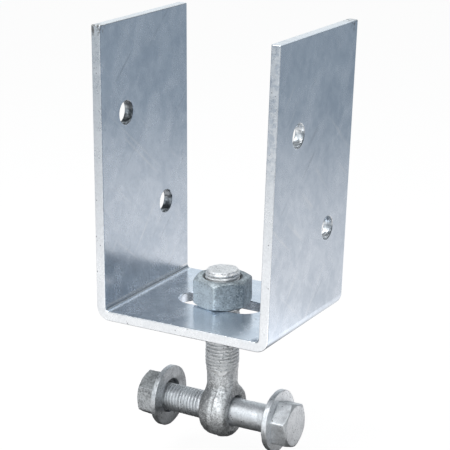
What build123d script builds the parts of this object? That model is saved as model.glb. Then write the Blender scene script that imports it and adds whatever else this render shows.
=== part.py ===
from build123d import *
from math import cos, radians, sin, sqrt, tan
import os

# Swivelling U bracket: a bent plate that takes a post between its legs, an eye bolt hung from a
# slot in its base, and a cross bolt through the eye that pins it to what it stands on.
# Millimetres. Origin at the middle of the base's upper face, +Z up, X across the legs.

# Bent plate
inner_width = 120.0  # between the legs, at the base
plate = 7.0
bracket_depth = 110.0
leg_height = 198.0  # from the base's upper face, measured along the leg
inner_bend = 2.5
right_lean = 2.0  # degrees that the right leg springs open after bending
edge_ease = 0.8  # rolled and cut edges

# Bolt holes through both legs
post_hole_d = 16.0
post_hole_side = 25.0  # each side of the middle
lower_hole_height = 59.0
hole_spacing = 75.0
hole_rim = 0.6  # rounding of each hole's rim

# Slot in the base
slot_length = 64.0
slot_width = 26.0
slot_rim = 0.5

# Eye bolt, held in the slot by its nut
stud_d = 24.0
stud_shift = 1.5  # where the stud sits along the slot
stud_above_nut = 5.0
stud_chamfer = 1.6
neck_d = 21.4
eye_drop = 72.5  # from the base's underside to the middle of the eye
neck_length = 8.9  # round neck between the thread's end and the ball
ball_d = 39.0
eye_width = 22.0
eye_hole_d = 22.0
eye_hole_rim = 0.8
neck_blend = 3.5

# Nut on the eye bolt
eye_nut_across = 37.0
eye_nut_height = 20.0
eye_nut_turn = 43.0  # degrees from +X to a corner
thread_play = 0.08  # between a nut's bore and its stud, on the radius
sink_over = 2.2  # how far a nut's countersink opens past the stud's radius
hex_bevel = 30.0  # degrees between a hexagon's end face and its bevel
bevel_ring = 0.95  # an end face's circle, as a share of the width across flats

# Cross bolt
bolt_d = 20.0
bolt_clearance = 0.3  # left under the bolt where it lies in the eye
bolt_head_across = 30.0
bolt_head_height = 12.0
bolt_head_turn = 40.0  # degrees from +Y to a corner
bolt_nut_height = 16.0
bolt_nut_turn = 28.0
bolt_past_nut = 3.0
bolt_chamfer = 1.4
grip = 86.0  # free length between the washers

# Washers
washer_d = 44.0
washer_hole_d = 25.0
washer_thick = 4.0
washer_lift = 1.1  # how far a washer sits above the bolt's axis
washer_bevel = 0.6

# Working values
flat_to_corner = 30.0  # degrees, on any hexagon
spare = 1.0  # how far a cutting shape reaches past what it cuts
same = 1e-3  # lengths closer than this are equal

# Worked out from the sizes above
base_under = -plate
eye_z = base_under - eye_drop
stud_top = eye_nut_height + stud_above_nut
neck_step = (stud_d - neck_d) / 2  # the bevel between the thread and the neck
neck_foot = eye_z + sqrt((ball_d / 2) ** 2 - (neck_d / 2) ** 2)  # where the neck meets the ball
thread_end = neck_foot + neck_length + neck_step
bolt_z = eye_z - (eye_hole_d - bolt_d) / 2 + bolt_clearance
seat_x = grip / 2 + washer_thick  # where the head and the nut bear on the washers
upper_hole_height = lower_hole_height + hole_spacing

stud_plane = Plane(origin=(stud_shift, 0, 0))
eye_plane = Plane(origin=(stud_shift, 0, eye_z), x_dir=(0, 1, 0), z_dir=(1, 0, 0))
bolt_plane = Plane(origin=(stud_shift, 0, bolt_z), x_dir=(0, 1, 0), z_dir=(1, 0, 0))


def is_level(edge):
    """Whether an edge lies flat, at one height."""
    box = edge.bounding_box()
    return box.max.Z - box.min.Z < same


def hexagon_bevels(across, height, plane, both_ends):
    """The turned shape that a hexagon is cut back to: its own ends, bevelled off outside the ring."""
    ring = across / 2 * bevel_ring
    corner = across / sqrt(3) + spare
    drop = (corner - ring) * tan(radians(hex_bevel))
    low = [(ring, 0), (corner, drop)] if both_ends else [(corner, 0)]
    with BuildPart(mode=Mode.PRIVATE) as turned:
        with BuildSketch(Plane(origin=plane.origin, x_dir=plane.x_dir, z_dir=-plane.y_dir)):
            with BuildLine():
                Polyline((0, 0), *low, (corner, height - drop), (ring, height), (0, height), close=True)
            make_face()
        revolve(axis=Axis(plane.origin, plane.z_dir))
    return turned.part


def hexagon_nut(across, height, turn, bore_d, plane):
    """A nut with both ends bevelled, and its bore countersunk at both ends."""
    with BuildPart() as nut:
        with BuildSketch(plane):
            RegularPolygon(across / 2, 6, major_radius=False, rotation=turn - flat_to_corner)
        extrude(amount=height)
        add(hexagon_bevels(across, height, plane, both_ends=True), mode=Mode.INTERSECT)
        with BuildSketch(plane):
            Circle(bore_d / 2)
        extrude(amount=height, mode=Mode.SUBTRACT)
        circles = nut.edges().filter_by(GeomType.CIRCLE)
        rims = circles.filter_by(lambda e: abs(e.radius - bore_d / 2) < same)
        chamfer(rims, length=sink_over * tan(radians(hex_bevel)), length2=sink_over)
    return nut.part


# Bent plate: the inner outline is carried outwards by the plate's thickness
with BuildPart() as u_bracket:
    with BuildSketch(Plane.XZ):
        with BuildLine():
            half = inner_width / 2
            lean = radians(right_lean)
            FilletPolyline(
                (-half, leg_height),
                (-half, 0),
                (half, 0),
                (half + leg_height * sin(lean), leg_height * cos(lean)),
                radius=inner_bend,
            )
            offset(amount=plate, side=Side.RIGHT)
        make_face()
    extrude(amount=bracket_depth / 2, both=True)
    fillet(u_bracket.edges(), edge_ease)
    before_holes = u_bracket.edges()
    with BuildSketch(Plane.YZ):
        with Locations((-post_hole_side, upper_hole_height), (post_hole_side, lower_hole_height)):
            Circle(post_hole_d / 2)
    extrude(amount=inner_width, both=True, mode=Mode.SUBTRACT)
    hole_edges = u_bracket.edges() - before_holes
    chamfer(hole_edges.filter_by(GeomType.LINE, reverse=True), hole_rim)
    before_slot = u_bracket.edges()
    with BuildSketch(Plane.XY):
        SlotOverall(slot_length, slot_width)
    extrude(amount=plate, both=True, mode=Mode.SUBTRACT)
    slot_edges = u_bracket.edges() - before_slot
    chamfer(slot_edges.filter_by(is_level), slot_rim)
u_bracket.part.label = "u_bracket"

# Eye bolt: one forging, its stud turned above a round neck and its eye flattened on both sides
with BuildPart() as eye_bolt:
    with BuildSketch(Plane(origin=(stud_shift, 0, 0), x_dir=(0, 1, 0), z_dir=(1, 0, 0))):
        with BuildLine():
            Polyline(
                (0, eye_z - ball_d / 2),
                (0, stud_top),
                (stud_d / 2 - stud_chamfer, stud_top),
                (stud_d / 2, stud_top - stud_chamfer),
                (stud_d / 2, thread_end),
                (neck_d / 2, thread_end - neck_step),
                (neck_d / 2, neck_foot),
            )
            ThreePointArc((neck_d / 2, neck_foot), (ball_d / 2, eye_z), (0, eye_z - ball_d / 2))
        make_face()
        fillet(vertices().sort_by_distance((neck_d / 2, neck_foot))[0], neck_blend)
    revolve(axis=Axis((stud_shift, 0, 0), (0, 0, 1)))
    for side in (1, -1):
        with BuildSketch(Plane(origin=(stud_shift + side * eye_width / 2, 0, eye_z), z_dir=(side, 0, 0))):
            Rectangle(ball_d + spare, ball_d + spare)
        extrude(amount=ball_d, mode=Mode.SUBTRACT)
    before_eye = eye_bolt.edges()
    with BuildSketch(eye_plane):
        Circle(eye_hole_d / 2)
    extrude(amount=eye_width, both=True, mode=Mode.SUBTRACT)
    eye_rims = (eye_bolt.edges() - before_eye).filter_by(GeomType.CIRCLE)
    chamfer(eye_rims, eye_hole_rim)
eye_bolt.part.label = "eye_bolt"

with BuildPart() as eye_bolt_nut:
    add(hexagon_nut(eye_nut_across, eye_nut_height, eye_nut_turn, stud_d + 2 * thread_play, stud_plane))
eye_bolt_nut.part.label = "eye_bolt_nut"

# Cross bolt: head on the right, its shank through the eye, its thread's end past the nut on the left
head_plane = bolt_plane.offset(seat_x)
with BuildPart() as cross_bolt:
    with BuildSketch(head_plane):
        RegularPolygon(bolt_head_across / 2, 6, major_radius=False, rotation=bolt_head_turn - flat_to_corner)
    extrude(amount=bolt_head_height)
    add(hexagon_bevels(bolt_head_across, bolt_head_height, head_plane, both_ends=False), mode=Mode.INTERSECT)
    bolt_tip = -seat_x - bolt_nut_height - bolt_past_nut
    with BuildSketch(bolt_plane.offset(bolt_tip)):
        Circle(bolt_d / 2)
    extrude(amount=seat_x - bolt_tip)
    circles = cross_bolt.edges().filter_by(GeomType.CIRCLE)
    rings = circles.filter_by(lambda e: abs(e.radius - bolt_d / 2) < same)
    chamfer(rings.sort_by(Axis.X)[0], bolt_chamfer)
cross_bolt.part.label = "cross_bolt"

with BuildPart() as cross_bolt_nut:
    nut_plane = bolt_plane.offset(-seat_x - bolt_nut_height)
    add(hexagon_nut(bolt_head_across, bolt_nut_height, bolt_nut_turn, bolt_d + 2 * thread_play, nut_plane))
cross_bolt_nut.part.label = "cross_bolt_nut"


def flat_washer(inner_face_x, outward):
    """A punched ring whose inner face lies at inner_face_x, sitting a little high on the bolt."""
    ring_plane = Plane(
        origin=(stud_shift + inner_face_x, 0, bolt_z + washer_lift), x_dir=(0, 1, 0), z_dir=(outward, 0, 0)
    )
    with BuildPart() as washer:
        with BuildSketch(ring_plane):
            Circle(washer_d / 2)
            Circle(washer_hole_d / 2, mode=Mode.SUBTRACT)
        extrude(amount=washer_thick)
        rims = washer.edges().filter_by(GeomType.CIRCLE)
        chamfer(rims.filter_by(lambda e: e.radius > washer_hole_d / 2 + same), washer_bevel)
    return washer.part


with BuildPart() as head_washer:
    add(flat_washer(grip / 2, 1))
head_washer.part.label = "head_washer"

with BuildPart() as nut_washer:
    add(flat_washer(-grip / 2, -1))
nut_washer.part.label = "nut_washer"

os.makedirs("parts", exist_ok=True)
export_step(u_bracket.part, "parts/u_bracket.step")
export_step(eye_bolt.part, "parts/eye_bolt.step")
export_step(eye_bolt_nut.part, "parts/eye_bolt_nut.step")
export_step(cross_bolt.part, "parts/cross_bolt.step")
export_step(head_washer.part, "parts/head_washer.step")
export_step(nut_washer.part, "parts/nut_washer.step")
export_step(cross_bolt_nut.part, "parts/cross_bolt_nut.step")
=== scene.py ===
"""Looks for a swivelling U bracket: hot-dip galvanised plate, forged eye bolt, nuts, washers and cross bolt."""

import logging
from dataclasses import dataclass, replace
from enum import Enum
from functools import reduce
from typing import Optional, Sequence

import bpy
import numpy as np
from mathutils import Matrix


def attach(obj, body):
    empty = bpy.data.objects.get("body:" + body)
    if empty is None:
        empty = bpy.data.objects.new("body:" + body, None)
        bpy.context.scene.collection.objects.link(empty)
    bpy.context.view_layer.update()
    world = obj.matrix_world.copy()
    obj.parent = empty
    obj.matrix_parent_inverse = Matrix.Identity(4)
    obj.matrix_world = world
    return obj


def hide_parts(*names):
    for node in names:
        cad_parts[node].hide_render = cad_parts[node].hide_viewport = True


LOG = logging.getLogger("u_bracket")
MM = 0.001
TAU = 2.0 * np.pi
TINY = 1e-9
WHITE = (1.0, 1.0, 1.0)
Socket = bpy.types.NodeSocket

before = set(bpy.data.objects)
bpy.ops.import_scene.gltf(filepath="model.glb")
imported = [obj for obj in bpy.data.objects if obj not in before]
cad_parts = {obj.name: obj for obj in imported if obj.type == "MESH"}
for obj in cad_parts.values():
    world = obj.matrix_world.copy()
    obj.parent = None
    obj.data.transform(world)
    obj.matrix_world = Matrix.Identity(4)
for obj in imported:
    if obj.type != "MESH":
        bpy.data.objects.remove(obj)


class Turning(Enum):
    """The axis that a turned shape goes round, with the two directions that its angle starts between."""

    UPRIGHT = ((1.0, 0.0, 0.0), (0.0, 1.0, 0.0), (0.0, 0.0, 1.0))
    CROSSWISE = ((0.0, 1.0, 0.0), (0.0, 0.0, 1.0), (1.0, 0.0, 0.0))


class Body(Enum):
    """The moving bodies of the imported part."""

    BRACKET = "bracket"
    SLIDER = "slider"
    EYE = "eye"
    PIVOT = "pivot"


@dataclass(frozen=True)
class Centre:
    """A point in millimetres and the axis through it that shapes are turned about."""

    point: tuple[float, float, float]
    turning: Turning

    def place(self, radius: np.ndarray, angle: np.ndarray, along: np.ndarray) -> np.ndarray:
        """Turns polar sizes into points: centre + radius (cos angle e1 + sin angle e2) + along e3.

        Args:
            radius: Distances from the axis, in millimetres.
            angle: Angles about the axis, in radians.
            along: Distances along the axis, in millimetres.

        Returns:
            Points with a last axis of three, in millimetres.
        """
        first, second, third = (np.array(v) for v in self.turning.value)
        radius, angle, along = np.broadcast_arrays(radius, angle, along)
        sideways = np.cos(angle)[..., None] * first + np.sin(angle)[..., None] * second
        return np.array(self.point) + radius[..., None] * sideways + along[..., None] * third


@dataclass
class Surface:
    """A triangle surface in millimetres."""

    points: np.ndarray
    triangles: np.ndarray

    @classmethod
    def from_grid(cls, grid: np.ndarray, closed_loop: bool = False, shear: int = 0) -> "Surface":
        """Joins a grid of points whose last column meets its first.

        Each cell (i, j) becomes the triangles (i, j) (i, j+1) (i+1, j+1) and (i, j) (i+1, j+1) (i+1, j).

        Args:
            grid: Points, rows by columns by three, rows going up the outside of the shape.
            closed_loop: Whether the last row also meets the first, as round a ring.
            shear: How many rows further up the first column is met after a full turn, as on a thread.

        Returns:
            The surface, with nothing welded yet.
        """
        rows, columns = grid.shape[:2]
        index = np.arange(rows * columns).reshape(rows, columns)
        right = np.roll(index, -1, axis=1)
        if shear:
            right[: rows - shear, -1] = index[shear:, 0]
            right[rows - shear:, -1] = index[-1, 0]
        above, above_right = np.roll(index, -1, axis=0), np.roll(right, -1, axis=0)
        last = rows if closed_loop else rows - 1
        a, b, c, d = (part[:last].ravel() for part in (index, right, above_right, above))
        triangles = np.concatenate([np.stack([a, b, c], 1), np.stack([a, c, d], 1)])
        return cls(grid.reshape(-1, 3), triangles)

    def joined(self, *others: "Surface") -> "Surface":
        """Puts other surfaces with this one.

        Args:
            others: The surfaces to add.

        Returns:
            One surface that holds all of them.
        """
        parts = [self, *others]
        starts = np.cumsum([0] + [len(part.points) for part in parts[:-1]])
        triangles = [part.triangles + start for part, start in zip(parts, starts)]
        return Surface(np.concatenate([part.points for part in parts]), np.concatenate(triangles))

    def welded(self) -> "Surface":
        """Merges points that agree to 4 decimals of a millimetre and drops triangles that vanish.

        Returns:
            The closed surface.
        """
        decimals = 4
        _, keep, where = np.unique(np.round(self.points, decimals), axis=0, return_index=True, return_inverse=True)
        triangles = where.reshape(-1)[self.triangles]
        a, b, c = triangles.T
        return Surface(self.points[keep], triangles[(a != b) & (b != c) & (a != c)])

    def normals(self) -> np.ndarray:
        """Outward unit normals at the points: the sum of each triangle's (b - a) x (c - a), made one long."""
        a, b, c = (self.points[self.triangles[:, k]] for k in range(3))
        total = np.zeros_like(self.points)
        face = np.cross(b - a, c - a)
        for k in range(3):
            np.add.at(total, self.triangles[:, k], face)
        return total / np.maximum(np.linalg.norm(total, axis=1, keepdims=True), TINY)

    def lumped(self, *swells: "Swell") -> "Surface":
        """Moves each point along its normal by the sum of the swells there.

        Args:
            swells: The wave sums that the zinc or the forging's skin follows.

        Returns:
            The uneven surface.
        """
        height = sum(swell.at(self.points) for swell in swells)
        return Surface(self.points + self.normals() * height[:, None], self.triangles)

    def to_object(self, name: str) -> bpy.types.Object:
        """Makes a smooth-shaded object at the origin, in metres.

        Args:
            name: The piece's name.

        Returns:
            The new object, linked to the scene.
        """
        mesh = bpy.data.meshes.new(name)
        mesh.from_pydata((self.points * MM).tolist(), [], self.triangles.tolist())
        mesh.polygons.foreach_set("use_smooth", np.ones(len(mesh.polygons), bool))
        mesh.update()
        piece = bpy.data.objects.new(name, mesh)
        bpy.context.scene.collection.objects.link(piece)
        return piece


@dataclass(frozen=True)
class Swell:
    """A smooth uneven height: a sum of sine waves in seeded directions, with wavelengths near one size."""

    size: float
    height: float
    seed: int
    waves: int = 18

    def at(self, points: np.ndarray) -> np.ndarray:
        """Height at each point: height times sqrt(2 / waves) times the sum of sin(k . p + phase) over the waves.

        Args:
            points: Points in millimetres, with a last axis of three.

        Returns:
            Heights in millimetres.
        """
        rng = np.random.default_rng(self.seed)
        directions = rng.normal(size=(self.waves, 3))
        directions /= np.linalg.norm(directions, axis=1, keepdims=True)
        lengths = self.size * rng.uniform(0.7, 1.6, self.waves)
        phases = rng.uniform(0.0, TAU, self.waves)
        angle = points @ (directions * (TAU / lengths)[:, None]).T + phases
        return self.height * np.sqrt(2.0 / self.waves) * np.sin(angle).sum(-1)


def smooth_step(value: np.ndarray) -> np.ndarray:
    """The curve 3t^2 - 2t^3 of t = value held between 0 and 1.

    Args:
        value: Where on the step each sample is.

    Returns:
        Shares from 0 to 1.
    """
    t = np.clip(value, 0.0, 1.0)
    return t * t * (3.0 - 2.0 * t)


def smooth_min(a: np.ndarray, b: np.ndarray, blend: float) -> np.ndarray:
    """The lesser of two distances, rounded where they meet.

    It is min(a, b) - h^2 blend / 4, with h = max(0, 1 - |a - b| / blend).

    Args:
        a: First distances.
        b: Second distances.
        blend: How far apart they still blend, in millimetres.

    Returns:
        The blended distances.
    """
    near = np.maximum(blend - np.abs(a - b), 0.0) / blend
    return np.minimum(a, b) - near * near * blend / 4.0


def stations(
    corners: np.ndarray, cuts: Sequence[float], closed: bool, arc_steps: int, span_steps: int
) -> np.ndarray:
    """Turns an outline of corners into evenly filled rows, with each corner cut back to a parabola.

    At a corner P with cut d, the rows follow (1-t)^2 A + 2t(1-t) P + t^2 C, where A and C lie d before and after P
    on its two sides. Between C and the next A the rows are evenly spaced.

    Args:
        corners: Corner points, corners by columns by (radius, along).
        cuts: How far each corner is cut back, in millimetres; 0 keeps it sharp.
        closed: Whether the outline's last corner meets its first.
        arc_steps: Rows over one corner.
        span_steps: Rows between two corners.

    Returns:
        Rows by columns by (radius, along).
    """
    before, after = np.roll(corners, 1, 0), np.roll(corners, -1, 0)
    cut = np.array(cuts)[:, None, None]
    to_before, to_after = before - corners, after - corners
    start = corners + cut * to_before / np.maximum(np.linalg.norm(to_before, axis=2, keepdims=True), TINY)
    end = corners + cut * to_after / np.maximum(np.linalg.norm(to_after, axis=2, keepdims=True), TINY)
    t = np.linspace(0.0, 1.0, arc_steps)[None, :, None, None]
    bend = (1 - t) ** 2 * start[:, None] + 2 * t * (1 - t) * corners[:, None] + t * t * end[:, None]
    s = (np.arange(1, span_steps + 1) / (span_steps + 1))[None, :, None, None]
    span = end[:, None] * (1 - s) + np.roll(start, -1, 0)[:, None] * s
    rows = np.concatenate([bend, span], axis=1).reshape(-1, *corners.shape[1:])
    return rows if closed else rows[: len(rows) - span_steps]


@dataclass(frozen=True)
class Hexagon:
    """The six flats of a nut or a bolt's head, its corners eased by the zinc."""

    across: float
    height: float
    turn: float
    bevel_angle: float = 30.0
    ring_share: float = 0.95
    ease: float = 70.0

    def flat_distance(self, angle: np.ndarray) -> np.ndarray:
        """Radius of the outline: across / 2 over the power mean (sum of |cos|^p)^(1/p) of the three flat directions.

        Args:
            angle: Angles about the axis, in radians.

        Returns:
            Radii in millimetres.
        """
        half_flat = 30.0  # degrees from a corner to the middle of a flat
        flats = np.radians(self.turn + half_flat) + np.arange(3) * np.pi / 3
        share = (np.abs(np.cos(angle[..., None] - flats)) ** self.ease).sum(-1) ** (1.0 / self.ease)
        return self.across / 2 / share

    def bevel_drop(self, angle: np.ndarray) -> np.ndarray:
        """How far the bevel's cone has dropped where it meets the flats: (radius - ring) tan(bevel angle)."""
        ring = self.across / 2 * self.ring_share
        return (self.flat_distance(angle) - ring) * np.tan(np.radians(self.bevel_angle))


@dataclass(frozen=True)
class Thread:
    """A right-handed thread with rounded, zinc-filled turns."""

    radius: float
    pitch: float
    depth: float
    columns: int
    rows_per_turn: int = 14
    groove_floor: float = 0.04
    flank: float = 0.66

    def surface(
        self,
        centre: Centre,
        low: float,
        high: float,
        ends: tuple[float, float],
        run_outs: tuple[float, float],
        start_angle: float = 0.0,
        taper: float = 1.0,
    ) -> Surface:
        """The thread between two heights, on a grid whose rows climb one pitch a turn.

        Height s = low - pitch + (i / rows_per_turn + j / columns) pitch, held between low and high. The radius is
        the full radius less depth times the groove's share at phase i / rows_per_turn, faded over each run-out and
        held under a bevel from each end's radius: taper a millimetre at the low end, 45 degrees at the high end.

        Args:
            centre: The axis.
            low: Height where the thread starts.
            high: Height where it stops.
            ends: Radius at the low and at the high end.
            run_outs: Length over which the groove fades at each end; 0 for a bevelled end.
            start_angle: Angle of the first column.
            taper: How fast the radius grows from the low end, in millimetres a millimetre.

        Returns:
            The open surface, with a plain ring at each end.
        """
        turns = int(np.ceil((high - low) / self.pitch)) + 2
        i = np.arange(turns * self.rows_per_turn + 1)[:, None]
        j = np.arange(self.columns)[None, :]
        along = np.clip(low - self.pitch + (i / self.rows_per_turn + j / self.columns) * self.pitch, low, high)
        phase = (i / self.rows_per_turn) % 1.0
        ridge = smooth_step((np.abs(2.0 * phase - 1.0) - self.groove_floor) / self.flank)
        fade = np.ones_like(along)
        if run_outs[0] > 0:
            fade = fade * smooth_step((along - low) / run_outs[0])
        if run_outs[1] > 0:
            fade = fade * smooth_step((high - along) / run_outs[1])
        radius = self.radius - self.depth * (1.0 - ridge) * fade
        radius = np.minimum(radius, np.minimum(ends[0] + taper * (along - low), ends[1] + (high - along)))
        angle = np.broadcast_to(start_angle + j * TAU / self.columns, along.shape)
        return Surface.from_grid(centre.place(radius, angle, along), shear=self.rows_per_turn)


def turned(centre: Centre, rows: np.ndarray, columns: int, closed: bool = False, start_angle: float = 0.0) -> Surface:
    """Carries an outline round the axis.

    Args:
        centre: The axis.
        rows: The outline, rows by (radius, along) or rows by columns by (radius, along).
        columns: Steps in a full turn.
        closed: Whether the outline is a loop.
        start_angle: Angle of the first column.

    Returns:
        The surface, with nothing welded yet.
    """
    rows = rows if rows.ndim == 3 else np.repeat(rows[:, None], columns, 1)
    angle = start_angle + np.arange(columns) * TAU / columns
    return Surface.from_grid(centre.place(rows[..., 0], angle[None, :], rows[..., 1]), closed_loop=closed)


def corner_rings(columns: int, *corners: tuple[object, object]) -> np.ndarray:
    """Stacks an outline's corners, each a radius and a height along the axis.

    Args:
        columns: Steps in a full turn.
        corners: Pairs of a radius and a height, each a number or one value a column.

    Returns:
        Corners by columns by (radius, along).
    """
    ones = np.ones(columns)
    return np.stack([np.stack([radius * ones, along * ones], 1) for radius, along in corners])


class Tint(Enum):
    """Fixed colours that lie over the zinc: marks and dirt, and some that are painted light and shade."""

    PIT = (0.03, 0.032, 0.035)
    SEAM = (0.06, 0.062, 0.066)
    GROOVE_DIRT_AND_SHADE = (0.09, 0.088, 0.084)
    BORE_SHADE = (0.04, 0.042, 0.045)
    RUBBED = (0.46, 0.53, 0.62)
    WALL_DEEP_SHADE = (0.08, 0.09, 0.1)
    WALL_HALF_SHADE = (0.42, 0.45, 0.48)
    WALL_LIT = (0.84, 0.86, 0.88)
    SPECK = (0.05, 0.05, 0.06)
    STAIN = (0.1, 0.15, 0.22)
    BURNT = (0.2, 0.185, 0.17)


class Nodes:
    """Fills one node tree with short calls."""

    def __init__(self, tree: bpy.types.NodeTree) -> None:
        """Starts with the tree emptied.

        Args:
            tree: The node tree.
        """
        self.tree = tree
        tree.nodes.clear()

    def node(self, kind: str, inputs: Optional[dict] = None, **settings: object) -> bpy.types.Node:
        """Adds a node.

        Args:
            kind: Blender's node type, without its ShaderNode prefix.
            inputs: Socket names or numbers with a constant or a socket to link.
            settings: The node's own properties.

        Returns:
            The node.
        """
        made = self.tree.nodes.new("ShaderNode" + kind)
        for key, value in settings.items():
            setattr(made, key, value)
        for key, value in (inputs or {}).items():
            if isinstance(value, Socket):
                self.tree.links.new(value, made.inputs[key])
            else:
                made.inputs[key].default_value = value
        return made

    def math(self, operation: str, a: object, b: object = 0.0) -> Socket:
        """One arithmetic step on sockets or numbers."""
        return self.node("Math", {0: a, 1: b}, operation=operation).outputs[0]

    def plus(self, *parts: object) -> Socket:
        """Sum of sockets and numbers."""
        return reduce(lambda a, b: self.math("ADD", a, b), parts)

    def minus(self, a: object, b: object) -> Socket:
        """Difference of two sockets or numbers."""
        return self.math("SUBTRACT", a, b)

    def times(self, *parts: object) -> Socket:
        """Product of sockets and numbers."""
        return reduce(lambda a, b: self.math("MULTIPLY", a, b), parts)

    def hypot(self, a: Socket, b: Socket) -> Socket:
        """Length of two distances at right angles."""
        return self.math("SQRT", self.plus(self.times(a, a), self.times(b, b)))

    def band(self, value: object, low: float, high: float, to_low: float = 0.0, to_high: float = 1.0) -> Socket:
        """Maps low..high smoothly to to_low..to_high and holds it outside."""
        sockets = {"Value": value, "From Min": low, "From Max": high, "To Min": to_low, "To Max": to_high}
        return self.node("MapRange", sockets, interpolation_type="SMOOTHSTEP", clamp=True).outputs[0]


class Shader(Nodes):
    """Builds one material on the object's own coordinates."""

    core: float = 0.3

    def __init__(self, name: str) -> None:
        """Starts the material.

        Args:
            name: The material's name.
        """
        self.material = bpy.data.materials.new(name)
        self.material.use_nodes = True
        super().__init__(self.material.node_tree)
        self.place = self.node("TexCoord").outputs["Object"]
        self.axes = self.node("SeparateXYZ", {0: self.place}).outputs

    def stretched(self, scale: Sequence[float], about_x: float) -> Socket:
        """The object's own coordinates, turned about X and then stretched along the turned axes."""
        turned_place = self.node("Mapping", {"Vector": self.place, "Rotation": (about_x, 0.0, 0.0)}).outputs[0]
        return self.node("Mapping", {"Vector": turned_place, "Scale": scale}).outputs[0]

    def near(self, point: Sequence[float], reach: float) -> Socket:
        """Share from 1 round a point, in millimetres, down to 0 at so many millimetres from it."""
        centre = tuple(v * MM for v in point)
        away = self.node("VectorMath", {0: self.place, 1: centre}, operation="DISTANCE").outputs["Value"]
        return self.band(away, reach * self.core * MM, reach * MM, 1.0, 0.0)

    def polar(self, centre: Centre) -> tuple[Socket, ...]:
        """Coordinates along a centre's two directions and its axis, and the distance from the axis, in metres."""
        middle = tuple(v * MM for v in centre.point)
        moved = self.node("VectorMath", {0: self.place, 1: middle}, operation="SUBTRACT").outputs[0]
        first, second, third = (
            self.node("VectorMath", {0: moved, 1: axis}, operation="DOT_PRODUCT").outputs["Value"]
            for axis in centre.turning.value
        )
        return first, second, third, self.hypot(first, second)

    def noise(self, size: float, detail: float = 3.0, where: Optional[Socket] = None, rough: float = 0.55,
              distort: float = 0.0) -> Socket:
        """Noise from 0 to 1 whose features are about size millimetres across.

        Args:
            size: Feature size in millimetres.
            detail: Octaves.
            where: Coordinates, or the object's own if left out.
            rough: How strong the finer octaves are.
            distort: How far the pattern is pulled about.

        Returns:
            The noise socket.
        """
        sockets = {"Vector": where or self.place, "Scale": 1.0 / (size * MM), "Detail": detail, "Roughness": rough,
                   "Distortion": distort}
        return self.node("TexNoise", sockets).outputs[0]

    def cells(self, size: float) -> Socket:
        """Distance to the middle of Voronoi cells about size millimetres across."""
        return self.node("TexVoronoi", {"Vector": self.place, "Scale": 1.0 / (size * MM)}).outputs["Distance"]

    def mix(self, share: object, a: object, b: object) -> Socket:
        """Mixes two colours, each a socket, a tint or three numbers, by a share."""
        factor, colour_a, colour_b, result = 0, 6, 7, 2  # the mixing node's sockets for colours
        sockets = {factor: share}
        for key, value in ((colour_a, a), (colour_b, b)):
            value = value.value if isinstance(value, Tint) else value
            sockets[key] = value if isinstance(value, Socket) else (*value, 1.0)
        return self.node("Mix", sockets, data_type="RGBA").outputs[result]

    def layered(self, colour: Socket, *layers: tuple[object, object]) -> Socket:
        """Lays colours over a first one.

        Args:
            colour: The colour underneath.
            layers: Pairs of a share and a colour, from the lowest up.

        Returns:
            The colour on top.
        """
        for share, over in layers:
            colour = self.mix(share, colour, over)
        return colour

    def relief(self, *bumps: tuple[Socket, float]) -> Socket:
        """Stacks bumps into one normal.

        Args:
            bumps: Pairs of a height from 0 to 1 and its depth in millimetres, from the lowest up.

        Returns:
            The normal socket.
        """
        under: dict[str, Socket] = {}
        for height, depth in bumps:
            sockets = {"Height": height, "Distance": depth * MM, "Strength": 1.0, **under}
            under = {"Normal": self.node("Bump", sockets).outputs[0]}
        return under["Normal"]

    def finish(self, colour: Socket, roughness: Socket, normal: Socket, metallic: float) -> bpy.types.Material:
        """Ends the tree in a Principled shader.

        Args:
            colour: Base colour socket.
            roughness: Roughness socket.
            normal: Normal socket.
            metallic: Share of bare metal.

        Returns:
            The material.
        """
        sockets = {"Base Color": colour, "Roughness": roughness, "Normal": normal, "Metallic": metallic}
        surface = self.node("BsdfPrincipled", sockets)
        self.node("OutputMaterial", {"Surface": surface.outputs[0]})
        return self.material


@dataclass(frozen=True)
class Groove:
    """Where a thread's groove runs, for the grime and painted shade that lie in it: phase = along / pitch - angle /
    full turn.
    """

    centre: Centre
    low: float
    high: float
    pitch: float
    inner: float
    start_angle: float = 0.0
    fade: float = 4.0
    wall: float = 0.5

    def share(self, s: Shader) -> Socket:
        """Share of groove at a point: 1 along the groove's bottom, 0 on the crest and past the thread's ends."""
        first, second, third, out = s.polar(self.centre)
        turn = s.times(s.minus(s.math("ARCTAN2", second, first), self.start_angle), -1.0 / TAU)
        climbed = s.math("DIVIDE", s.minus(third, self.low * MM), self.pitch * MM)
        off_bottom = s.math("ABSOLUTE", s.minus(s.math("FRACT", s.plus(climbed, turn)), 0.5))
        return s.times(
            s.band(off_bottom, 0.06, 0.26, 1.0, 0.0),
            s.band(third, self.low * MM, (self.low + self.fade) * MM),
            s.band(third, (self.high - self.fade) * MM, self.high * MM, 1.0, 0.0),
            s.band(out, self.inner * MM, (self.inner + self.wall) * MM),
        )


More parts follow.
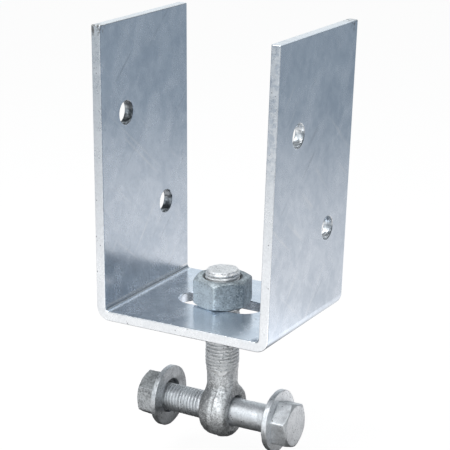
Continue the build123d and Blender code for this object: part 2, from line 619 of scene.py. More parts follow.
@dataclass(frozen=True)
class Crease:
    """The seam round the ball where the forging's two halves meet, at one x, fading below one height; it also brings
    painted shade left of the seam and on the right flat.
    """

    at: float
    top: float
    fade: float
    flat_at: float
    seam: tuple[float, float] = (0.2, 0.7)
    seam_share: float = 0.34
    wander: float = 0.9
    # Painted shade: how far the tone drops left of the seam and on the right flat.
    left_shade: float = -0.5
    flat_shade: float = -0.42

    def on_ball(self, s: Shader) -> Socket:
        """Share of ball at a point: 1 below the neck, 0 from the seam's top up."""
        return s.band(s.axes[2], (self.top - self.fade) * MM, self.top * MM, 1.0, 0.0)

    def shade(self, s: Shader) -> Socket:
        """What the ball's tone gains: painted shade, darker some way left of the seam and on its right flat."""
        left = s.band(s.axes[0], (self.at - 4.8) * MM, (self.at - 2.6) * MM, self.left_shade, 0.06)
        flat = s.band(s.axes[0], (self.flat_at - 0.8) * MM, (self.flat_at - 0.3) * MM, 0.0, self.flat_shade)
        return s.times(s.plus(left, flat), self.on_ball(s))

    def line(self, s: Shader) -> Socket:
        """Share of dark seam at a point: a thin line that wanders and breaks off in places."""
        wander = s.times(s.minus(s.noise(6.0, 2.0), 0.5), self.wander * MM)
        off = s.math("ABSOLUTE", s.minus(s.plus(s.axes[0], wander), self.at * MM))
        inner, outer = (width * MM for width in self.seam)
        broken = s.band(s.noise(3.5, 2.0), 0.3, 0.45)
        return s.times(s.band(off, inner, outer, self.seam_share, 0.0), broken, self.on_ball(s))


@dataclass(frozen=True)
class ForgedZinc:
    """Matt hot-dip zinc over a forging or a rolled thread: grey, mottled, with fine dark pits; where given, also
    painted light and shade.
    """

    name: str
    light: tuple[float, float, float]
    dark: tuple[float, float, float]
    metallic: float = 0.8
    roughness: float = 0.5
    cloud: float = 9.0
    mottle: float = 1.5
    contrast: float = 0.7
    pit_size: float = 2.2
    pit_share: float = 0.75
    grain_size: float = 1.1
    grain: float = 0.06
    crease: Optional[Crease] = None
    groove: Optional[Groove] = None
    # Share of grime and painted shade in the groove, at its least and at its most.
    groove_dirt_and_shade: tuple[float, float] = (0.15, 0.5)
    # Painted shade in the bore and countersink: the bore's axis and the radius within which the colour darkens.
    bore: Optional[tuple[Centre, float]] = None
    # Painted light: a point and a reach round which the tone is raised, so the side of the piece there looks lit.
    painted_light_patch: Optional[tuple[tuple[float, float, float], float]] = None

    def tone(self, s: Shader, mottle: Socket, grain: Socket) -> Socket:
        """Where between the two greys a point lies, from 0 to about 1.

        Args:
            s: The material's shader.
            mottle: The mottling.
            grain: The fine grain.

        Returns:
            The tone socket.
        """
        spread = self.contrast / 4.0
        tone = s.plus(
            s.band(s.noise(self.cloud, 3.0, distort=0.3), 0.36, 0.64, 0.25 - spread, 0.25 + spread),
            s.band(mottle, 0.38, 0.62, 0.4 - spread, 0.4 + spread),
            s.band(grain, 0.34, 0.66, 0.24, -0.28),
        )
        # Painted light: the tone rises round one point, so one side of the piece looks lit.
        if self.painted_light_patch is not None:
            tone = s.plus(s.times(tone, 0.56), s.times(s.near(*self.painted_light_patch), 0.54))
        # The crease adds painted shade to the ball, left of the seam and on its right flat.
        return tone if self.crease is None else s.plus(tone, self.crease.shade(s))

    def build(self) -> bpy.types.Material:
        """Makes the material: clouds, mottling and grain between two greys, darkened in pits, with a lumpy bump."""
        s = Shader(self.name)
        mottle = s.noise(self.mottle, 3.0, rough=0.6, distort=0.3)
        grain = s.noise(self.grain_size, 2.0, rough=0.7)
        pits = s.times(s.band(s.cells(self.pit_size), 0.1, 0.28, 1.0, 0.0),
                       s.band(s.noise(self.pit_size * 5.0, 2.0), 0.42, 0.56, 0.0, self.pit_share))
        layers = [(pits, Tint.PIT)]
        if self.crease is not None:
            layers.append((self.crease.line(s), Tint.SEAM))
        if self.groove is not None:
            # Grime and painted shade along the bottom of the thread's groove, patchy along its length.
            dirt_and_shade = s.band(s.noise(5.0, 2.0), 0.3, 0.65, *self.groove_dirt_and_shade)
            layers.append((s.times(self.groove.share(s), dirt_and_shade), Tint.GROOVE_DIRT_AND_SHADE))
        # Painted shade down the bore and countersink.
        if self.bore is not None:
            centre, radius = self.bore
            out = s.polar(centre)[-1]
            layers.append((s.band(out, (radius - 0.5) * MM, (radius + 0.2) * MM, 0.85, 0.0), Tint.BORE_SHADE))
        colour = s.layered(s.mix(self.tone(s, mottle, grain), self.dark, self.light), *layers)
        rough = s.plus(s.band(mottle, 0.3, 0.7, 0.06, -0.05), self.roughness)
        normal = s.relief((s.noise(self.cloud * 0.5, 2.0), 0.05), (mottle, 0.1), (grain, self.grain), (pits, -0.06))
        return s.finish(colour, rough, normal, self.metallic)


@dataclass(frozen=True)
class PlateZinc:
    """Satin hot-dip zinc on rolled plate: bluish, brushed and clouded, with brighter cut edges and lumpy hole walls,
    and painted light and shade at the bends and in the holes.
    """

    name: str
    light: tuple[float, float, float]
    dark: tuple[float, float, float]
    edge: tuple[float, float, float]
    half_depth: float
    leg_top: float
    inner_half: float
    holes: tuple[tuple[float, float], ...]
    hole_radius: float
    metallic: float = 0.88
    roughness: float = 0.22
    worn_corners: tuple[tuple[float, float, float], ...] = ((-64.0, -55.0, 197.0), (70.0, 50.0, 197.0))
    worn_reach: float = 9.0
    rubbed_at: tuple[float, float, float] = (66.0, -55.0, 160.0)
    rubbed_reach: float = 70.0
    stain_at: tuple[float, float, float] = (57.5, -51.5, 0.5)
    stain_reach: float = 6.0

    def dimmed(self, colour: tuple[float, float, float], share: float) -> tuple[float, ...]:
        """A colour at so much of its strength."""
        return tuple(share * c for c in colour)

    def cut_edges(self, s: Shader) -> Socket:
        """Share of cut edge at a point: 1 on the sheared front and back edges and on the legs' ends."""
        side = s.band(s.math("ABSOLUTE", s.axes[1]), (self.half_depth - 0.55) * MM, (self.half_depth - 0.15) * MM)
        top = s.band(s.axes[2], (self.leg_top - 0.6) * MM, (self.leg_top - 0.2) * MM)
        return s.math("MAXIMUM", side, top)

    def hole_walls(self, s: Shader) -> Socket:
        """Share of hole wall at a point: 1 within the holes' radius of their axes, which run along X."""
        share: object = 0.0
        for y, z in self.holes:
            away = s.hypot(s.minus(s.axes[1], y * MM), s.minus(s.axes[2], z * MM))
            near = s.band(away, (self.hole_radius + 0.25) * MM, (self.hole_radius + 0.75) * MM, 1.0, 0.0)
            share = s.math("MAXIMUM", near, share)
        return share

    def fold(self, s: Shader) -> Socket:
        """Distance in metres from the sharp line that the inside of either bend rounds off."""
        return s.hypot(s.minus(s.math("ABSOLUTE", s.axes[0]), self.inner_half * MM), s.axes[2])

    def scratches(self, s: Shader, turn: float, width: float, thin: float) -> Socket:
        """Thin straight marks that lean across the legs: peaks of a noise drawn out along one direction.

        Args:
            s: The material's shader.
            turn: How far the marks are turned about X, in radians.
            width: How closely they stand, as a scale across them.
            thin: Scale along them; less is longer.

        Returns:
            Their share, from 0 to 1.
        """
        return s.band(s.noise(1.0, 1.0, s.stretched((0.3, width, thin), turn), 0.5), 0.64, 0.74)

    def rolled(self, s: Shader, drift: Socket, fine: Socket) -> Socket:
        """Colour of the rolled faces: clouds between two tones, scratches, and painted shade along the inside of each
        bend with a painted highlight beside it.

        Args:
            s: The material's shader.
            drift: The middle-sized unevenness.
            fine: The fine brushing.

        Returns:
            The colour socket.
        """
        blots = s.noise(7.0, 3.0, s.stretched((1.0, 1.0, 0.75), -0.6), 0.6, 0.4)
        tone = s.plus(
            s.band(s.noise(60.0, 3.0, distort=0.8), 0.3, 0.7, -0.05, 0.45), s.band(drift, 0.3, 0.7, -0.1, 0.45),
            s.band(blots, 0.35, 0.65, -0.12, 0.26), s.band(fine, 0.3, 0.7, 0.0, 0.12),
        )
        scratches = s.math("MAXIMUM", self.scratches(s, 0.7, 0.16, 0.008), self.scratches(s, -0.9, 0.2, 0.007))
        pale = s.times(scratches, s.band(s.noise(36.0, 2.0), 0.42, 0.58, 0.0, 0.35))
        marks = s.times(self.scratches(s, 0.85, 0.22, 0.009), s.band(s.noise(30.0, 2.0), 0.45, 0.58, 0.0, 0.3))
        fold = self.fold(s)
        # Painted shade down the middle of the inner bend, and a painted highlight where the bend meets the flat faces.
        bend_shade = s.band(fold, 1.0 * MM, 1.7 * MM, 0.75, 0.0)
        bend_highlight = s.times(s.band(fold, 2.2 * MM, 2.6 * MM), s.band(fold, 3.4 * MM, 4.2 * MM, 0.8, 0.0))
        return s.layered(s.mix(tone, self.dark, self.light), (pale, self.edge), (marks, self.dimmed(self.dark, 0.5)),
                         (bend_shade, self.dimmed(self.dark, 0.3)), (bend_highlight, self.edge))

    def sheared(self, s: Shader, grain: Socket) -> Socket:
        """Colour of the cut edges: bright and grainy, rubbed to a blue grey high on the right leg's front."""
        rubbed = s.times(s.band(s.noise(5.0, 4.0, rough=0.7), 0.45, 0.6, 0.0, 0.55),
                         s.near(self.rubbed_at, self.rubbed_reach))
        bright = s.mix(s.band(grain, 0.3, 0.75), self.edge, self.dimmed(self.edge, 0.88))
        return s.mix(rubbed, bright, Tint.RUBBED)

    def punched(self, s: Shader, lump: Socket) -> Socket:
        """Colour of the holes' walls, painted light and shade: the hollows between the lumps get painted shade, and the
        right leg's walls are painted paler than the left leg's.
        """
        # Painted light: the right leg's hole walls look lit and the left leg's look shaded.
        right = s.band(s.axes[0], -1.0 * MM, 1.0 * MM)
        hollow, raised = s.mix(right, Tint.WALL_DEEP_SHADE, Tint.WALL_HALF_SHADE), s.mix(right, Tint.WALL_HALF_SHADE, Tint.WALL_LIT)
        return s.mix(s.band(lump, 0.38, 0.68), hollow, raised)

    def build(self) -> bpy.types.Material:
        """Makes the material: rolled faces, sheared edges, punched holes, then specks, a stain and burnt corners."""
        s = Shader(self.name)
        edges, walls = self.cut_edges(s), self.hole_walls(s)
        drift = s.noise(17.0, 4.0, s.stretched((1.0, 1.0, 0.6), 0.5), 0.55, 0.6)
        fine = s.noise(2.0, 3.0, s.stretched((1.0, 1.3, 0.6), -0.4), 0.6)
        grain, lump = s.noise(1.3, 3.0, rough=0.7), s.noise(4.2, 1.0, distort=0.6)
        worn = s.math("MAXIMUM", *(s.near(corner, self.worn_reach) for corner in self.worn_corners))
        chips = s.math("MAXIMUM", s.band(s.noise(9.0, 2.0), 0.56, 0.64), worn)
        specks = s.plus(
            s.times(s.band(s.cells(5.0), 0.05, 0.13, 1.0, 0.0), s.band(s.noise(26.0, 2.0), 0.55, 0.68), 0.4),
            s.times(s.band(s.cells(2.3), 0.12, 0.26, 1.0, 0.0), chips, edges, 0.75),
        )
        stain = s.times(s.band(s.noise(3.0, 3.0), 0.4, 0.55, 0.2, 0.85), s.near(self.stain_at, self.stain_reach),
                        s.minus(1.0, edges))
        burnt = s.times(s.band(s.noise(2.6, 3.0, rough=0.7), 0.48, 0.56, 0.0, 0.8), worn)
        colour = s.layered(self.rolled(s, drift, fine), (edges, self.sheared(s, grain)), (walls, self.punched(s, lump)),
                           (specks, Tint.SPECK), (stain, Tint.STAIN), (burnt, Tint.BURNT))
        rough = s.plus(s.band(drift, 0.3, 0.7, -0.04, 0.05), s.band(fine, 0.3, 0.7, -0.02, 0.04),
                       s.times(s.math("MAXIMUM", edges, walls), 0.07), self.roughness)
        normal = s.relief((s.noise(70.0, 1.0), 0.25), (drift, 0.05), (fine, 0.008), (s.times(grain, edges), 0.07),
                          (s.times(lump, walls), 0.45), (s.times(specks, edges), -0.05))
        return s.finish(colour, rough, normal, self.metallic)


def dress(piece: bpy.types.Object, finish: bpy.types.Material, body: Body, node: str) -> None:
    """Gives a new piece its finish, its body and the CAD node that it stands for.

    Args:
        piece: The new object.
        finish: Its material.
        body: The body that it rides on.
        node: CAD node that it replaces.
    """
    piece.data.materials.append(finish)
    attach(piece, body.value)
    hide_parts(node)
    LOG.info("%s: %d triangles on %s", piece.name, len(piece.data.polygons), body.value)


@dataclass
class Bracket:
    """The bent plate, which keeps its CAD solid and gets a galvanised finish."""

    depth: float = 110.0
    leg_height: float = 198.0
    inner_half: float = 60.0
    hole_places: tuple[tuple[float, float], ...] = ((-25.0, 134.0), (25.0, 59.0))
    hole_radius: float = 8.0

    def build(self) -> None:
        """Dresses the CAD node."""
        finish = PlateZinc(
            "plate_galvanised", light=(0.8, 0.86, 0.94), dark=(0.6, 0.67, 0.76), edge=(0.91, 0.93, 0.955),
            half_depth=self.depth / 2, leg_top=self.leg_height, inner_half=self.inner_half, holes=self.hole_places,
            hole_radius=self.hole_radius,
        ).build()
        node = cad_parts["u_bracket"]
        node.data.materials.clear()
        node.data.materials.append(finish)
        LOG.info("u_bracket: %d triangles dressed", len(node.data.polygons))


@dataclass
class EyeBolt:
    """The eye bolt: a threaded stud above a round neck, and a ball flattened on both sides with a hole through it."""

    shift: float = 1.5
    eye_height: float = -79.5
    stud_top: float = 25.0
    thread_end: float = -52.0
    stud_radius: float = 12.0
    pitch: float = 2.6
    thread_depth: float = 1.35
    end_bevel: float = 1.6
    neck_radius: float = 11.0
    neck_blend: float = 3.6
    ball_radius: float = 19.5
    barrel: tuple[float, float, float] = (13.6, 20.0, 3.2)
    half_width: float = 11.0
    hole_radius: float = 11.0
    hole_rim: float = 0.8
    crease_at: float = 2.2
    crease_top: float = -56.0
    crease_fade: float = 7.0
    die_step: float = 0.35
    die_slope: float = 0.02
    run_out: float = 7.0
    taper: float = 0.12
    columns: int = 150
    eye_columns: int = 360
    ball_rows: int = 84
    halvings: int = 36

    def stud(self) -> Surface:
        """The threaded stud, from its bevelled and slightly dished end down to a stem hidden inside the ball."""
        centre = Centre((self.shift, 0.0, 0.0), Turning.UPRIGHT)
        end_radius = self.stud_radius - self.end_bevel
        thread = Thread(self.stud_radius, self.pitch, self.thread_depth, self.columns)
        root = self.neck_radius - 0.3
        turns = thread.surface(centre, self.thread_end, self.stud_top, (root, end_radius),
                               (self.run_out, 0.0), taper=self.taper)
        foot = self.eye_height + self.hole_radius + 2.5
        inside = self.neck_radius - 2.0
        lower = np.array([(0.0, foot), (inside, foot), (inside, self.thread_end - 2.0), (root, self.thread_end)])
        dish = np.array([(end_radius, 0.0), (end_radius - 1.6, -0.05), (6.0, -0.3), (3.0, -0.35), (0.0, -0.35)])
        dish[:, 1] += self.stud_top
        whole = turned(centre, lower, self.columns).joined(turns, turned(centre, dish, self.columns)).welded()
        return whole.lumped(Swell(3.4, 0.09, 5), Swell(9.0, 0.1, 6))

    def skin(self, points: np.ndarray) -> np.ndarray:
        """Distance outside the forging: the barrel and the neck blended, cut by the flats, less at the smaller half.

        f = smooth_max(smooth_min(barrel, hypot(x, y) - neck) + inset, |x| - half_width, z - top), where the barrel is
        girth (((|x| / reach)^p + (hypot(y, z) / girth)^p)^(1 / p) - 1). The inset is nought on one side of the crease
        and the die's step and its slope times the distance from it on the other, less a small bell-shaped ridge at
        the crease, and it fades towards the neck.

        Args:
            points: Points from the middle of the eye, in millimetres.

        Returns:
            Signed distances in millimetres.
        """
        x, y, z = points[..., 0], points[..., 1], points[..., 2]
        reach, girth, power = self.barrel
        level = ((np.abs(x) / reach) ** power + (np.hypot(y, z) / girth) ** power) ** (1.0 / power)
        ball = (level - 1.0) * girth
        neck = np.maximum(np.hypot(x, y) - self.neck_radius, -z)
        solid = smooth_min(ball, neck, self.neck_blend)
        smaller = 1.0 / (1.0 + np.exp(np.clip((x - self.crease_at) / 0.14, -40, 40)))
        flash = np.exp(-(((x - self.crease_at - 0.25) / 0.4) ** 2))
        slope = self.die_slope * np.maximum(self.crease_at - x, 0.0)
        low = smooth_step((self.crease_top - self.eye_height - z) / self.crease_fade)
        solid = solid + low * (self.die_step * smaller + slope - 0.16 * flash)
        top = self.thread_end - self.eye_height + 3.5
        cut = -smooth_min(-(np.abs(x) - self.half_width), -(z - top), 0.4)
        return -smooth_min(-solid, -cut, 1.3)

    def eye(self) -> Surface:
        """The eye and the neck: a loop of hole wall, flats and ball carried round the hole's axis.

        The ball's rows start on the sphere and are moved along their rays from the middle of the eye until the skin's
        distance is nought, found by halving an interval of shares of the ray for all points at once.

        Returns:
            The closed surface.
        """
        rim = np.sqrt(self.ball_radius ** 2 - self.half_width ** 2)
        sweep = np.linspace(-1.0, 1.0, self.ball_rows) * (np.arcsin(self.half_width / self.ball_radius) - 0.004)
        ball = self.ball_radius * np.stack([np.cos(sweep), np.sin(sweep)], 1)
        w, r, c = self.half_width, self.hole_radius, self.hole_rim
        inner = rim - 1.7
        corners = np.array([(inner, w), (r + c, w), (r, w - c), (r, -w + c), (r + c, -w), (inner, -w)])[:, None, :]
        rest = stations(corners, (0.0, 0.35, 0.35, 0.35, 0.35, 0.0), False, 5, 11)[:, 0]
        rows = np.concatenate([ball, rest])
        # The hole's axis is X, so the ring is turned crosswise, with its first column towards +Y.
        centre = Centre((0.0, 0.0, 0.0), Turning.CROSSWISE)
        angle = np.arange(self.eye_columns) * TAU / self.eye_columns
        grid = centre.place(rows[:, None, 0], angle[None, :], rows[:, None, 1])
        outside = grid[: len(ball)]
        near, far = np.full(outside.shape[:2], 0.88), np.full(outside.shape[:2], 2.0)
        for _ in range(self.halvings):
            middle = (near + far) / 2
            beyond = self.skin(outside * middle[..., None]) > 0
            near, far = np.where(beyond, near, middle), np.where(beyond, middle, far)
        grid[: len(ball)] = outside * near[..., None]
        grid = grid + np.array([self.shift, 0.0, self.eye_height])
        return Surface.from_grid(grid, closed_loop=True).welded().lumped(Swell(4.5, 0.05, 11), Swell(11.0, 0.08, 12))

    def build(self, finish: bpy.types.Material, stud_finish: bpy.types.Material) -> None:
        """Makes both surfaces, which stand for the one forged CAD node.

        Args:
            finish: The forging's material.
            stud_finish: The rolled thread's material.
        """
        dress(self.eye().to_object("forged_eye"), finish, Body.EYE, "eye_bolt")
        dress(self.stud().to_object("threaded_stud"), stud_finish, Body.EYE, "eye_bolt")


@dataclass
class HexNut:
    """A hexagon nut, bevelled and countersunk at both ends."""

    name: str
    node: str
    body: Body
    slot: str
    centre: Centre
    hexagon: Hexagon
    bore: float
    sink: float = 2.2
    bears_at: Optional[float] = None
    columns: int = 240
    seed: int = 21

    def build(self, finish: bpy.types.Material) -> None:
        """Makes the nut from one loop of its wall, bevels, end faces, countersinks and bore.

        Args:
            finish: The nut's material.
        """
        start = np.radians(self.hexagon.turn)
        angle = start + np.arange(self.columns) * TAU / self.columns
        outer, drop = self.hexagon.flat_distance(angle), self.hexagon.bevel_drop(angle)
        ring = self.hexagon.across / 2 * self.hexagon.ring_share
        height, mouth = self.hexagon.height, self.bore + self.sink
        depth = self.sink * np.tan(np.radians(self.hexagon.bevel_angle))
        corners = corner_rings(self.columns, (outer, drop), (outer, height - drop), (ring, height), (mouth, height),
                               (self.bore, height - depth), (self.bore, depth), (mouth, 0.0), (ring, 0.0))
        cuts = (0.45, 0.45, 0.5, 0.3, 0.2, 0.2, 0.3, 0.5)
        rows = stations(corners, cuts, True, 5, 9)
        surface = turned(self.centre, rows, self.columns, True, start).welded()
        surface = surface.lumped(Swell(6.0, 0.05, self.seed), Swell(2.4, 0.02, self.seed + 1))
        if self.bears_at is not None:
            # The zinc is pressed flat where the nut bears, so its lumps don't cut the plate below.
            surface.points[:, 2] = np.maximum(surface.points[:, 2], self.bears_at)
        dress(surface.to_object(self.name), finish, self.body, self.node)


@dataclass
class Washer:
    """A punched flat washer with softened rims."""

    name: str
    node: str
    centre: Centre
    outer: float = 22.0
    hole: float = 12.5
    thick: float = 4.0
    columns: int = 220
    seed: int = 31

    def build(self, finish: bpy.types.Material) -> None:
        """Makes the ring from one loop of its four faces.

        Args:
            finish: The washer's material.
        """
        corners = np.array([(self.outer, 0.0), (self.outer, self.thick), (self.hole, self.thick), (self.hole, 0.0)])
        rows = stations(corners[:, None, :], (0.75, 0.75, 0.5, 0.5), True, 6, 9)[:, 0]
        surface = turned(self.centre, rows, self.columns, True).welded()
        surface = surface.lumped(Swell(9.0, 0.06, self.seed), Swell(3.0, 0.03, self.seed + 1))
        dress(surface.to_object(self.name), finish, Body.PIVOT, self.node)


@dataclass
class CrossBolt:
    """The cross bolt: threaded on the left, plain on the right, with a bevelled hexagon head."""

    centre: Centre
    radius: float = 10.0
    pitch: float = 2.5
    thread_depth: float = 1.25
    tip: float = -66.0
    thread_end: float = -13.0
    seat: float = 47.0
    bevel: float = 1.4
    head: Hexagon = Hexagon(30.0, 12.0, 40.0, ease=110.0)
    run_out: float = 4.0
    shank_rows: int = 40
    columns: int = 180

    def build(self, finish: bpy.types.Material) -> None:
        """Makes the bolt as one surface from the middle of its tip to the middle of its head.

        Args:
            finish: The bolt's material.
        """
        start = np.radians(self.head.turn)
        angle = start + np.arange(self.columns) * TAU / self.columns
        tip_radius = self.radius - self.bevel
        thread = Thread(self.radius, self.pitch, self.thread_depth, self.columns)
        turns = thread.surface(self.centre, self.tip, self.thread_end, (tip_radius, self.radius),
                               (0.0, self.run_out), start)
        tip = np.array([(0.0, self.tip), (tip_radius - 1.2, self.tip), (tip_radius, self.tip)])
        along = np.linspace(self.thread_end, self.seat, self.shank_rows)
        shank = np.stack([np.full(self.shank_rows, self.radius), along], 1)
        outer, drop = self.head.flat_distance(angle), self.head.bevel_drop(angle)
        ring = self.head.across / 2 * self.head.ring_share
        end = self.seat + self.head.height
        corners = corner_rings(self.columns, (self.radius, self.seat), (outer, self.seat), (outer, end - drop),
                               (ring, end), (0.0, end))
        head = stations(corners, (0.0, 0.4, 0.4, 0.35, 0.0), False, 5, 10)
        surface = turned(self.centre, tip, self.columns, start_angle=start).joined(
            turns, turned(self.centre, shank, self.columns, start_angle=start),
            turned(self.centre, head, self.columns, start_angle=start),
        ).welded()
        surface = surface.lumped(Swell(5.0, 0.04, 41), Swell(12.0, 0.05, 42))
        dress(surface.to_object("cross_bolt_forging"), finish, Body.PIVOT, "cross_bolt")


@dataclass
class Hardware:
    """The eye bolt, the cross bolt and their nuts and washers, each in its place with its finish."""

    shift: float = 1.5
    bolt_height: float = -80.2
    washer_lift: float = 1.1
    half_grip: float = 43.0
    nut_height: float = 16.0

    def __post_init__(self) -> None:
        """Works out the two axes that the pieces lie on."""
        self.stud_axis = Centre((self.shift, 0.0, 0.0), Turning.UPRIGHT)
        self.bolt_axis = self.crosswise(0.0)

    def crosswise(self, along: float, lift: float = 0.0) -> Centre:
        """A centre on the cross bolt's axis, or so far above it, at a distance along it from the stud."""
        return Centre((self.shift + along, 0.0, self.bolt_height + lift), Turning.CROSSWISE)

    def hang_eye_bolt(self) -> None:
        """Makes the eye bolt and the nut that bears on the plate's base."""
        crease = Crease(EyeBolt.crease_at + self.shift, EyeBolt.crease_top, EyeBolt.crease_fade,
                        flat_at=EyeBolt.half_width + self.shift)
        forging = ForgedZinc("forging_galvanised", light=(0.97, 0.98, 0.985), dark=(0.32, 0.325, 0.33), contrast=0.6,
                             metallic=0.84, roughness=0.6, crease=crease)
        groove = Groove(self.stud_axis, EyeBolt.thread_end + EyeBolt.pitch, EyeBolt.stud_top + Groove.fade,
                        EyeBolt.pitch, inner=10.2)
        stud = replace(forging, name="stud_galvanised", crease=None, light=(1.0, 1.0, 1.0), dark=(0.64, 0.65, 0.655),
                       groove=groove, groove_dirt_and_shade=(0.0, 0.3))
        # The eye nut's finish paints light on its front-left face, round the painted light patch.
        nut = ForgedZinc("nut_galvanised", light=(0.74, 0.82, 0.86), dark=(0.08, 0.11, 0.13), metallic=0.5,
                         roughness=0.44, mottle=1.6, contrast=0.75, pit_share=0.5,
                         # The nut's bore and countersink get painted shade within this radius.
                         painted_light_patch=((-8.0, -19.0, 8.0), 25.0), bore=(self.stud_axis, 14.2))
        EyeBolt(shift=self.shift).build(forging.build(), stud.build())
        HexNut("eye_nut", "eye_bolt_nut", Body.SLIDER, "nut_zinc", self.stud_axis,
               Hexagon(37.0, 20.0, 43.0, ease=48.0), bore=12.08, bears_at=0.02).build(nut.build())

    def pin_cross_bolt(self) -> None:
        """Makes the cross bolt, its nut and both washers."""
        groove = Groove(self.bolt_axis, CrossBolt.tip, CrossBolt.thread_end, CrossBolt.pitch, inner=8.2,
                        start_angle=float(np.radians(CrossBolt.head.turn)))
        bolt = ForgedZinc("bolt_galvanised", light=(0.9, 0.92, 0.94), dark=(0.62, 0.64, 0.66), contrast=0.75,
                          groove=groove, groove_dirt_and_shade=(0.02, 0.3))
        nut = replace(bolt, name="locking_nut_galvanised", light=(0.66, 0.68, 0.69), dark=(0.26, 0.27, 0.28),
                      contrast=0.95, groove=None)
        washer = ForgedZinc("washer_galvanised", light=(0.95, 0.97, 0.99), dark=(0.7, 0.72, 0.74), contrast=0.7,
                            roughness=0.48, pit_share=0.7)
        # Painted shade: the left washer takes a darker copy of the washer finish, as it lies in the shade of the eye
        # and the cross bolt.
        shaded_washer = replace(washer, name="shaded_washer_galvanised", light=(0.8, 0.82, 0.84), dark=(0.48, 0.5, 0.52))
        CrossBolt(self.bolt_axis).build(bolt.build())
        nut_seat = self.crosswise(-CrossBolt.seat - self.nut_height)
        HexNut("locking_nut", "cross_bolt_nut", Body.PIVOT, "bolt_zinc", nut_seat,
               Hexagon(30.0, self.nut_height, 28.0, ease=90.0), bore=10.08, seed=25).build(nut.build())
        Washer("washer_right", "head_washer", self.crosswise(self.half_grip, self.washer_lift)).build(washer.build())
        Washer("washer_left", "nut_washer", self.crosswise(-CrossBolt.seat, self.washer_lift),
               seed=35).build(shaded_washer.build())

    def build(self) -> None:
        """Makes every forged and turned piece."""
        self.hang_eye_bolt()
        self.pin_cross_bolt()


@dataclass(frozen=True)
class Wall:
    """A white wall round the part: where it stands, how far it reaches, and how bright it is in reflections."""

    towards: tuple[float, float, float]
    edge: tuple[float, float]
    level: float


@dataclass(frozen=True)
class Patch:
    """A round patch of the floor as metal mirrors it."""

    middle: tuple[float, float]
    reach: float
    colour: tuple[float, float, float]


@dataclass(frozen=True)
class Lamp:
    """A square soft lamp that faces the part."""

    name: str
    place: tuple[float, float, float]
    size: float
    watts: float


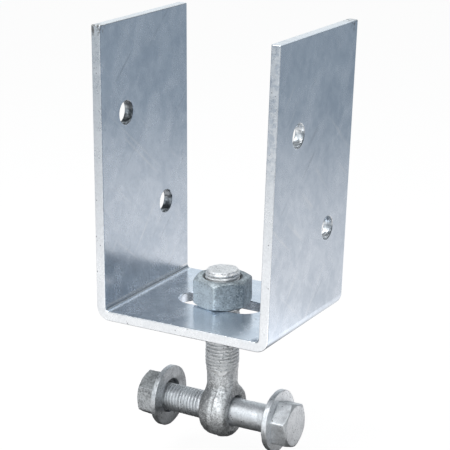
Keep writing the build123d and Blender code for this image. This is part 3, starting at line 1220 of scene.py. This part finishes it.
@dataclass
class Studio:
    """The camera, the soft lamps, the pale floor and the white surroundings."""

    lens: float = 126.84
    sensor: float = 36.0
    camera_place: tuple[float, float, float] = (521.24, -904.69, 377.60)
    camera_right: tuple[float, float, float] = (0.867283, 0.497804, 0.003323)
    camera_up: tuple[float, float, float] = (-0.149009, 0.253226, 0.955862)
    lamps: tuple[Lamp, ...] = (
        Lamp("key", (-150.0, -900.0, 1060.0), 600.0, 9.0),
        Lamp("top", (100.0, -150.0, 1300.0), 900.0, 6.0),
    )
    aim: tuple[float, float, float] = (0.0, 0.0, 30.0)
    floor_height: float = -132.0
    floor_size: float = 9000.0
    floor_grey: float = 0.13
    floor_glow: float = 0.95
    pool_edge: tuple[float, float] = (520.0, 1130.0)
    pool: tuple[tuple[float, float, float], ...] = ((0.84, 0.84, 0.85), (0.34, 0.39, 0.44))
    patches: tuple[Patch, ...] = (
        Patch((-210.0, -500.0), 480.0, (1.22, 1.22, 1.22)),
        Patch((20.0, 0.0), 240.0, (0.03, 0.03, 0.03)),
        Patch((195.0, 165.0), 175.0, (1.45, 1.45, 1.47)),
        Patch((160.0, -270.0), 235.0, (2.3, 2.3, 2.3)),
    )
    walls: tuple[Wall, ...] = (
        Wall((-0.497, 0.868, 0.0), (0.55, 0.85), 0.97),
        Wall((0.131, -0.931, 0.342), (0.62, 0.86), 1.38),
        Wall((0.268, 0.824, 0.5), (0.984, 0.996), 1.6),
    )
    wall_tint: tuple[float, float, float] = (0.9, 0.96, 1.0)
    dim: float = 0.25
    soft_tint: tuple[float, float, float] = (0.9, 0.95, 1.0)
    soft: float = 0.12

    def stand(
        self, name: str, data: bpy.types.ID, place: Sequence[float], right: np.ndarray, back: np.ndarray
    ) -> bpy.types.Object:
        """Stands a camera or a lamp in the scene.

        Args:
            name: Its name.
            data: Its data.
            place: Its place in millimetres.
            right: The direction to its right.
            back: The direction opposite to where it looks.

        Returns:
            The new object.
        """
        turn = np.eye(4)
        turn[:3, :3] = np.stack([right, np.cross(back, right), back], 1)
        turn[:3, 3] = np.array(place) * MM
        made = bpy.data.objects.new(name, data)
        made.matrix_world = Matrix(turn.tolist())
        bpy.context.scene.collection.objects.link(made)
        return made

    def camera(self) -> None:
        """Stands the camera where the photograph was taken from."""
        right, up = np.array(self.camera_right), np.array(self.camera_up)
        data = bpy.data.cameras.new("camera")
        data.lens, data.sensor_width, data.sensor_fit = self.lens, self.sensor, "HORIZONTAL"
        data.clip_start, data.clip_end = 0.01, 100.0
        bpy.context.scene.camera = self.stand("camera", data, self.camera_place, right, np.cross(right, up))

    def hang(self, lamp: Lamp) -> None:
        """Hangs one lamp that faces the part."""
        data = bpy.data.lights.new(lamp.name, "AREA")
        data.shape, data.size, data.energy = "SQUARE", lamp.size * MM, lamp.watts
        back = np.array(lamp.place) - np.array(self.aim)
        back /= np.linalg.norm(back)
        right = np.cross([0.0, 0.0, 1.0], back)
        self.stand(lamp.name, data, lamp.place, right / np.linalg.norm(right), back)

    def world(self) -> None:
        """White to the camera; in reflections white walls with dim gaps between them; soft and even to the rest."""
        world = bpy.data.worlds.new("surroundings")
        world.use_nodes = True
        n = Nodes(world.node_tree)
        path = n.node("LightPath").outputs
        towards = n.node("TexCoord").outputs["Generated"]
        level: object = self.dim
        for wall in self.walls:
            facing = n.node("VectorMath", {0: towards, 1: wall.towards}, operation="DOT_PRODUCT").outputs["Value"]
            level = n.math("MAXIMUM", level, n.band(facing, *wall.edge, self.dim, wall.level))
        white, mirrored, soft = (
            n.node("Background", {"Color": (*tint, 1.0), "Strength": strength}).outputs[0]
            for tint, strength in ((WHITE, 1.0), (self.wall_tint, level), (self.soft_tint, self.soft))
        )
        unseen = n.node("MixShader", {0: path["Is Glossy Ray"], 1: soft, 2: mirrored}).outputs[0]
        both = n.node("MixShader", {0: path["Is Camera Ray"], 1: unseen, 2: white}).outputs[0]
        n.node("OutputWorld", {"Surface": both})
        bpy.context.scene.world = world

    def floor(self) -> None:
        """A pale floor, open from below: white with the part's shadow to the camera, a lit pool in reflections."""
        half, z = self.floor_size / 2 * MM, self.floor_height * MM
        mesh = bpy.data.meshes.new("floor")
        mesh.from_pydata([(-half, -half, z), (half, -half, z), (half, half, z), (-half, half, z)], [], [(0, 1, 2, 3)])
        floor = bpy.data.objects.new("floor", mesh)
        bpy.context.scene.collection.objects.link(floor)
        s = Shader("floor_paper")
        inner, outer = (radius * MM for radius in self.pool_edge)
        pool = s.mix(s.band(s.hypot(s.axes[0], s.axes[1]), inner, outer), *self.pool)
        for patch in self.patches:
            pool = s.mix(s.near((*patch.middle, self.floor_height), patch.reach), pool, patch.colour)
        path = s.node("LightPath").outputs
        paper = s.node("BsdfDiffuse", {"Color": (*[self.floor_grey] * 3, 1.0)}).outputs[0]
        glow = s.times(path["Is Camera Ray"], self.floor_glow)
        white = s.node("Emission", {"Color": (*WHITE, 1.0), "Strength": glow}).outputs[0]
        seen = s.node("AddShader", {0: paper, 1: white}).outputs[0]
        mirrored = s.node("Emission", {"Color": pool, "Strength": 1.0}).outputs[0]
        above = s.node("MixShader", {0: path["Is Glossy Ray"], 1: seen, 2: mirrored}).outputs[0]
        below = s.node("BsdfTransparent").outputs[0]
        behind = s.node("NewGeometry").outputs["Backfacing"]
        both = s.node("MixShader", {0: behind, 1: above, 2: below}).outputs[0]
        s.node("OutputMaterial", {"Surface": both})
        mesh.materials.append(s.material)

    def build(self) -> None:
        """Sets the camera, lamps, surroundings and floor."""
        self.camera()
        for lamp in self.lamps:
            self.hang(lamp)
        self.world()
        self.floor()
        bpy.context.scene.view_settings.view_transform = "Standard"
        LOG.info("studio: camera, %d lamps, floor and surroundings", len(self.lamps))


def main() -> None:
    """Builds the part's looks in order: the plate, the forged and turned pieces, then the studio."""
    logging.basicConfig(level=logging.INFO, format="%(name)s: %(message)s")
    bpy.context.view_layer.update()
    Bracket().build()
    Hardware().build()
    Studio().build()


if __name__ == "__main__":
    main()
